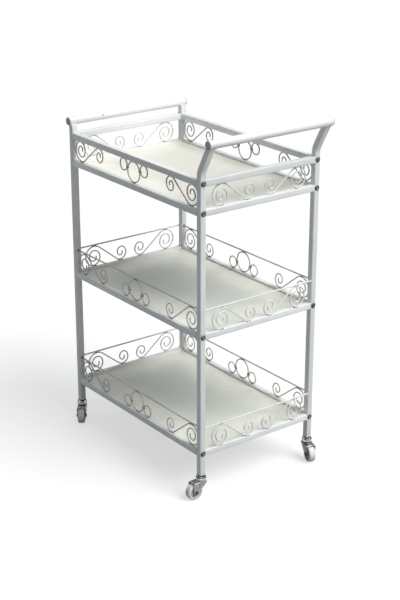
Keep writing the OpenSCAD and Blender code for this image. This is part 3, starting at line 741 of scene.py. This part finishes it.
def bolts():
    mesh = bolt_mesh()
    bm = bmesh.new()
    low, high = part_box("frame_bolts")
    for tier in ("top", "tray", "middle", "bottom"):
        z = centre(f"{tier}_rail_left").z
        for side in ENDS:
            for x, way in ((high.x - BOLT_HEAD_H, 1), (low.x + BOLT_HEAD_H, -1)):
                spin = turn(37 * (z * 100 + side * 3 + way), "Z")
                stamp(bm, mesh, moved(x, side * LEG_Y, z) @ turn(90 * way, "Y") @ spin)
    bpy.data.meshes.remove(mesh)
    piece("frame_bolt_set", bm, [BOLT_METAL, SOCKET_PAINTED_HIGHLIGHT], ["frame_bolts"], smooth=30)


# ---------------------------------------------------------------- casters

TRAIL = 0.020
FORK_T = 0.002
FORK_OUTER = 0.0115
RACE_R = 0.01225
STEM_HOLE_R = 0.0041
WHEEL_HALF_W = 0.0085
WHEEL_BORE_R = 0.00308
AXLE_REACH = 0.0116
# Height above a cup's bottom from which it is painted black, as painted shade under the leg.
CUP_PAINTED_SHADE_FROM = 0.0043


def fork_place(corner):
    """Matrix from a caster's own frame, with its trail along X, to its place."""
    end, side = corner.split("_")
    x, y = LEG_X[end], LEG_Y * (1 if side == "right" else -1)
    hub = centre(f"wheel_{corner}")
    return moved(x, y) @ Matrix.Rotation(math.atan2(hub.y - y, hub.x - x), 4, "Z")


def caster_fork(corner):
    """Pressed fork: a folded sheet trimmed to the cheeks' outline, with a ball race on top."""
    low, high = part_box(f"fork_{corner}")
    wheel_r = size(f"wheel_{corner}").z / 2
    crown_top = high.z - 0.002
    outer = FORK_OUTER
    front, back = TRAIL + 0.008, -0.00925
    skin = bmesh.new()
    spread = Matrix.Diagonal((front - back + 0.004, 2 * outer, crown_top, 1))
    box = Matrix.Translation(((front + back) / 2, 0, crown_top / 2)) @ spread
    bmesh.ops.create_cube(skin, size=1, matrix=box)
    ridges = [e for e in skin.edges if all(v.co.z > crown_top / 2 for v in e.verts)
              and abs(e.verts[0].co.y - e.verts[1].co.y) < 1e-6]
    bmesh.ops.bevel(skin, geom=ridges, offset=0.0032, affect="EDGES", segments=5, profile=0.5, material=-1)
    drop = [f for f in skin.faces if abs(f.normal.x) > 0.9 or f.normal.z < -0.9]
    bmesh.ops.delete(skin, geom=drop, context="FACES")
    bmesh.ops.solidify(skin, geom=skin.faces, thickness=FORK_T)
    outline = bmesh.new()
    for y in (-0.02, 0.02):
        for x, z, r in ((TRAIL, wheel_r, 0.0062), (back + 0.003, crown_top - 0.0025, 0.003),
                        (front - 0.006, crown_top - 0.0055, 0.006)):
            bmesh.ops.create_circle(outline, segments=40, radius=r, matrix=moved(x, y, z) @ turn(90, "X"))
    bmesh.ops.convex_hull(outline, input=outline.verts)
    spare = [e for e in outline.edges if not e.link_faces]
    bmesh.ops.delete(outline, geom=spare, context="EDGES")
    bm = boolean(solid("fork_skin", skin), solid("fork_outline", outline), "INTERSECT")
    race = bmesh.new()
    r = RACE_R
    profile = [(0.0042, crown_top - 0.0004), (r - 0.0006, crown_top - 0.0004)]
    profile += arc(r - 0.0009, high.z - 0.0009, 0.0009, -20, 90, 4) + [(0.0042, high.z)]
    revolved(race, profile + [profile[0]], 48)
    mesh = to_mesh("race", race)
    stamp(bm, mesh, Matrix.Identity(4))
    bpy.data.meshes.remove(mesh)
    bmesh.ops.transform(bm, matrix=fork_place(corner), verts=bm.verts)
    zinc = FORK_ZINC if corner == "push_left" else TARNISHED
    made = piece(f"fork_{corner}_pressing", bm, [zinc], [f"fork_{corner}"], f"caster_{corner}")
    ease = made.modifiers.new("edge", "BEVEL")
    ease.width = 0.0003
    ease.segments = 2
    ease.limit_method = "ANGLE"
    ease.angle_limit = math.radians(40)


def caster_wheel(corner):
    """Moulded wheel: rounded tread, recessed faces with a bead around the rim, and a raised hub."""
    r = size(f"wheel_{corner}").z / 2
    half = WHEEL_HALF_W
    bore = WHEEL_BORE_R
    profile = [(bore, half), (0.0055, half)] + arc(0.0055, half - 0.0006, 0.0006, 90, 0, 3)
    profile += [(0.0064, half - 0.0022), (r - 0.0062, half - 0.0026), (r - 0.0052, half - 0.0006)]
    rim = len(profile)
    profile += [(r - 0.0048, half - 0.0001)] + arc(r - 0.0034, half - 0.0034, 0.0034, 80, 0, 7)
    profile += [(r - 0.00002, half * 0.45)]
    other = [(x, -z) for x, z in reversed(profile)]
    bm = bmesh.new()
    revolved(bm, profile + [(r, 0.0)] + other + [profile[0]], 72)
    hub_r = profile[rim][0]
    for f in bm.faces:
        middle = f.calc_center_median()
        f.material_index = 1 if math.hypot(middle.x, middle.y) < hub_r else 0
    place = fork_place(corner) @ moved(TRAIL, 0, r) @ turn(90, "X")
    bmesh.ops.transform(bm, matrix=place, verts=bm.verts)
    piece(f"wheel_{corner}_moulding", bm, [TREAD, HUB], [f"wheel_{corner}"],
          f"wheel_{corner}_body", smooth=40)


def caster_axle(corner):
    """Rivet with a domed head and a spread tail."""
    r = size(f"wheel_{corner}").z / 2
    reach = AXLE_REACH
    head = [(0.003, reach)] + arc(0.0033, reach + 0.0004, 0.0012, -10, 80, 5) + [(0.0016, reach + 0.0015)]
    head += [(0.0012, reach + 0.0011), (0.00001, reach + 0.0010)]
    tail = [(x, -z) for x, z in head]
    bm = bmesh.new()
    revolved(bm, list(reversed(tail)) + head, 32)
    bmesh.ops.transform(bm, matrix=fork_place(corner) @ moved(TRAIL, 0, r) @ turn(90, "X"), verts=bm.verts)
    piece(f"axle_{corner}_rivet", bm, [RIVET_STEEL], [f"axle_{corner}"], f"caster_{corner}")


def swivel_cups():
    """Pressed cups over the ball races, dished around the stem: bright outside, painted black on top as
    shade under the leg.
    """
    low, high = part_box("swivel_heads")
    bottom, top, r = low.z, high.z, RACE_R
    dish = top - 0.0030
    profile = [(STEM_HOLE_R, bottom), (r - 0.0008, bottom)]
    profile += arc(r - 0.0008, bottom + 0.0008, 0.0008, -90, 0, 3)
    profile += [(r - 0.0002, bottom + 0.0026), (r, top - 0.0010)]
    profile += arc(r - 0.0007, top - 0.0007, 0.0007, 0, 180, 6)
    profile += [(r - 0.0022, dish + 0.0004), (r - 0.0030, dish), (STEM_HOLE_R, dish)]
    cup = bmesh.new()
    revolved(cup, profile + [profile[0]], 56)
    # Painted shade: faces high on the cup, the rim and the dish, take the black plastic.
    for f in cup.faces:
        f.material_index = 1 if f.calc_center_median().z > bottom + CUP_PAINTED_SHADE_FROM else 0
    mesh = to_mesh("cup", cup)
    bm = bmesh.new()
    for x in LEG_X.values():
        for side in ENDS:
            stamp(bm, mesh, moved(x, side * LEG_Y))
    bpy.data.meshes.remove(mesh)
    piece("swivel_cups", bm, [ZINC, BLACK_PLASTIC], ["swivel_heads"])


# ---------------------------------------------------------------- assembly

for corner in CORNERS:
    lean = leg(corner)
    if corner.endswith("left"):
        bar_welds(corner.split("_")[0], lean)
    caster_fork(corner)
    caster_wheel(corner)
    caster_axle(corner)
for tier in ("top", "tray", "middle", "bottom"):
    for side in SIDES:
        rail(f"{tier}_rail_{side}", 0)
    for end in LEG_X:
        rail(f"{tier}_rail_{end}", 1)
for end in LEG_X:
    bar(end)
    rail_welds(end)
bar_plugs()
galleries()
for tier in ("top", "middle", "bottom"):
    tray(tier)
bolts()
swivel_cups()

PLAIN = {"rail_plugs": BLACK_PLASTIC, "wire_grommets": BLACK_PLASTIC, "leg_plugs": BLACK_PLASTIC,
         "caster_stems": ZINC, "stem_nuts": BLACK_OXIDE, "swivel_balls": STEEL}
for node, material in PLAIN.items():
    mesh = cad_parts[node].data
    mesh.materials.clear()
    mesh.materials.append(material)

# ---------------------------------------------------------------- floor, light and camera

WHITE_SEEN = (1.0, 1.0, 1.0, 1)
FLOOR_BOUNCE = (0.26, 0.27, 0.28, 1)
FLOOR_LIFT = 0.6
SKY_LIGHT = (0.80, 0.90, 1.0, 1)
SKY_STRENGTH = 0.13
VIEW_AZIMUTH = 53.06
VIEW_ELEVATION = 21.40
VIEW_DISTANCE = 3.3755
VIEW_LENS = 83.43
VIEW_AIM = Vector((0.0174, -0.0092, 0.3834))


def seen_directly(tree):
    """1 where a surface is seen by the camera, in a reflection or through glass."""
    path = tree.nodes.new("ShaderNodeLightPath")
    seen = path.outputs["Is Camera Ray"]
    for other in ("Is Glossy Ray", "Is Transmission Ray"):
        either = tree.nodes.new("ShaderNodeMath")
        either.operation = "MAXIMUM"
        tree.links.new(seen, either.inputs[0])
        tree.links.new(path.outputs[other], either.inputs[1])
        seen = either.outputs[0]
    return seen


def floor():
    """Pale floor that reads as white and keeps the trolley's soft shadow."""
    bpy.ops.mesh.primitive_plane_add(size=60, location=(0, 0, 0))
    made = bpy.context.object
    made.name = "studio_floor"
    material = bpy.data.materials.new("studio_floor")
    material.use_nodes = True
    tree = material.node_tree
    shader = tree.nodes["Principled BSDF"]
    shader.inputs["Roughness"].default_value = 1.0
    shader.inputs["Specular IOR Level"].default_value = 0.0
    seen = seen_directly(tree)
    tone = tree.nodes.new("ShaderNodeMix")
    tone.data_type = "RGBA"
    tone.inputs[6].default_value = FLOOR_BOUNCE
    tone.inputs[7].default_value = WHITE_SEEN
    tree.links.new(seen, tone.inputs["Factor"])
    tree.links.new(tone.outputs[2], shader.inputs["Base Color"])
    lift = tree.nodes.new("ShaderNodeMath")
    lift.operation = "MULTIPLY"
    lift.inputs[1].default_value = FLOOR_LIFT
    tree.links.new(seen, lift.inputs[0])
    white = tree.nodes.new("ShaderNodeEmission")
    mix = tree.nodes.new("ShaderNodeMixShader")
    tree.links.new(lift.outputs[0], mix.inputs[0])
    tree.links.new(shader.outputs[0], mix.inputs[1])
    tree.links.new(white.outputs[0], mix.inputs[2])
    tree.links.new(mix.outputs[0], tree.nodes["Material Output"].inputs["Surface"])
    made.data.materials.append(material)


def sky():
    """Even world light, seen as pure white behind the floor."""
    world = bpy.data.worlds.new("studio")
    bpy.context.scene.world = world
    world.use_nodes = True
    tree = world.node_tree
    soft = tree.nodes["Background"]
    soft.inputs["Color"].default_value = SKY_LIGHT
    soft.inputs["Strength"].default_value = SKY_STRENGTH
    white = tree.nodes.new("ShaderNodeBackground")
    white.inputs["Color"].default_value = WHITE_SEEN
    mix = tree.nodes.new("ShaderNodeMixShader")
    tree.links.new(seen_directly(tree), mix.inputs[0])
    tree.links.new(soft.outputs[0], mix.inputs[1])
    tree.links.new(white.outputs[0], mix.inputs[2])
    tree.links.new(mix.outputs[0], tree.nodes["World Output"].inputs["Surface"])


def soft_sun(name, toward, strength, spread, color=(1, 1, 1)):
    """Even light from one direction, with shadows as soft as its spread in degrees."""
    light = bpy.data.lights.new(name, "SUN")
    light.energy = strength
    light.angle = math.radians(spread)
    light.color = color
    made = bpy.data.objects.new(name, light)
    bpy.context.scene.collection.objects.link(made)
    made.rotation_euler = (-Vector(toward)).to_track_quat("-Z", "Y").to_euler()


def camera():
    """Looks down at the trolley from the push bar's end."""
    azimuth, elevation = math.radians(VIEW_AZIMUTH), math.radians(VIEW_ELEVATION)
    ahead = Vector((-math.sin(azimuth) * math.cos(elevation), math.cos(azimuth) * math.cos(elevation),
                    -math.sin(elevation)))
    lens = bpy.data.cameras.new("view")
    lens.lens = VIEW_LENS
    lens.sensor_width = 36
    lens.shift_x = 0.0058
    lens.shift_y = 0.0032
    made = bpy.data.objects.new("view", lens)
    bpy.context.scene.collection.objects.link(made)
    made.location = VIEW_AIM - ahead * VIEW_DISTANCE
    made.rotation_euler = ahead.to_track_quat("-Z", "Y").to_euler()
    bpy.context.scene.camera = made


floor()
sky()
soft_sun("window", (0.597, 0.243, 0.763), 3.05, 40, (1.0, 0.995, 0.98))
soft_sun("ceiling", (0.10, 0.25, 0.96), 0.8, 110)
camera()
bpy.context.scene.view_settings.view_transform = "Standard"
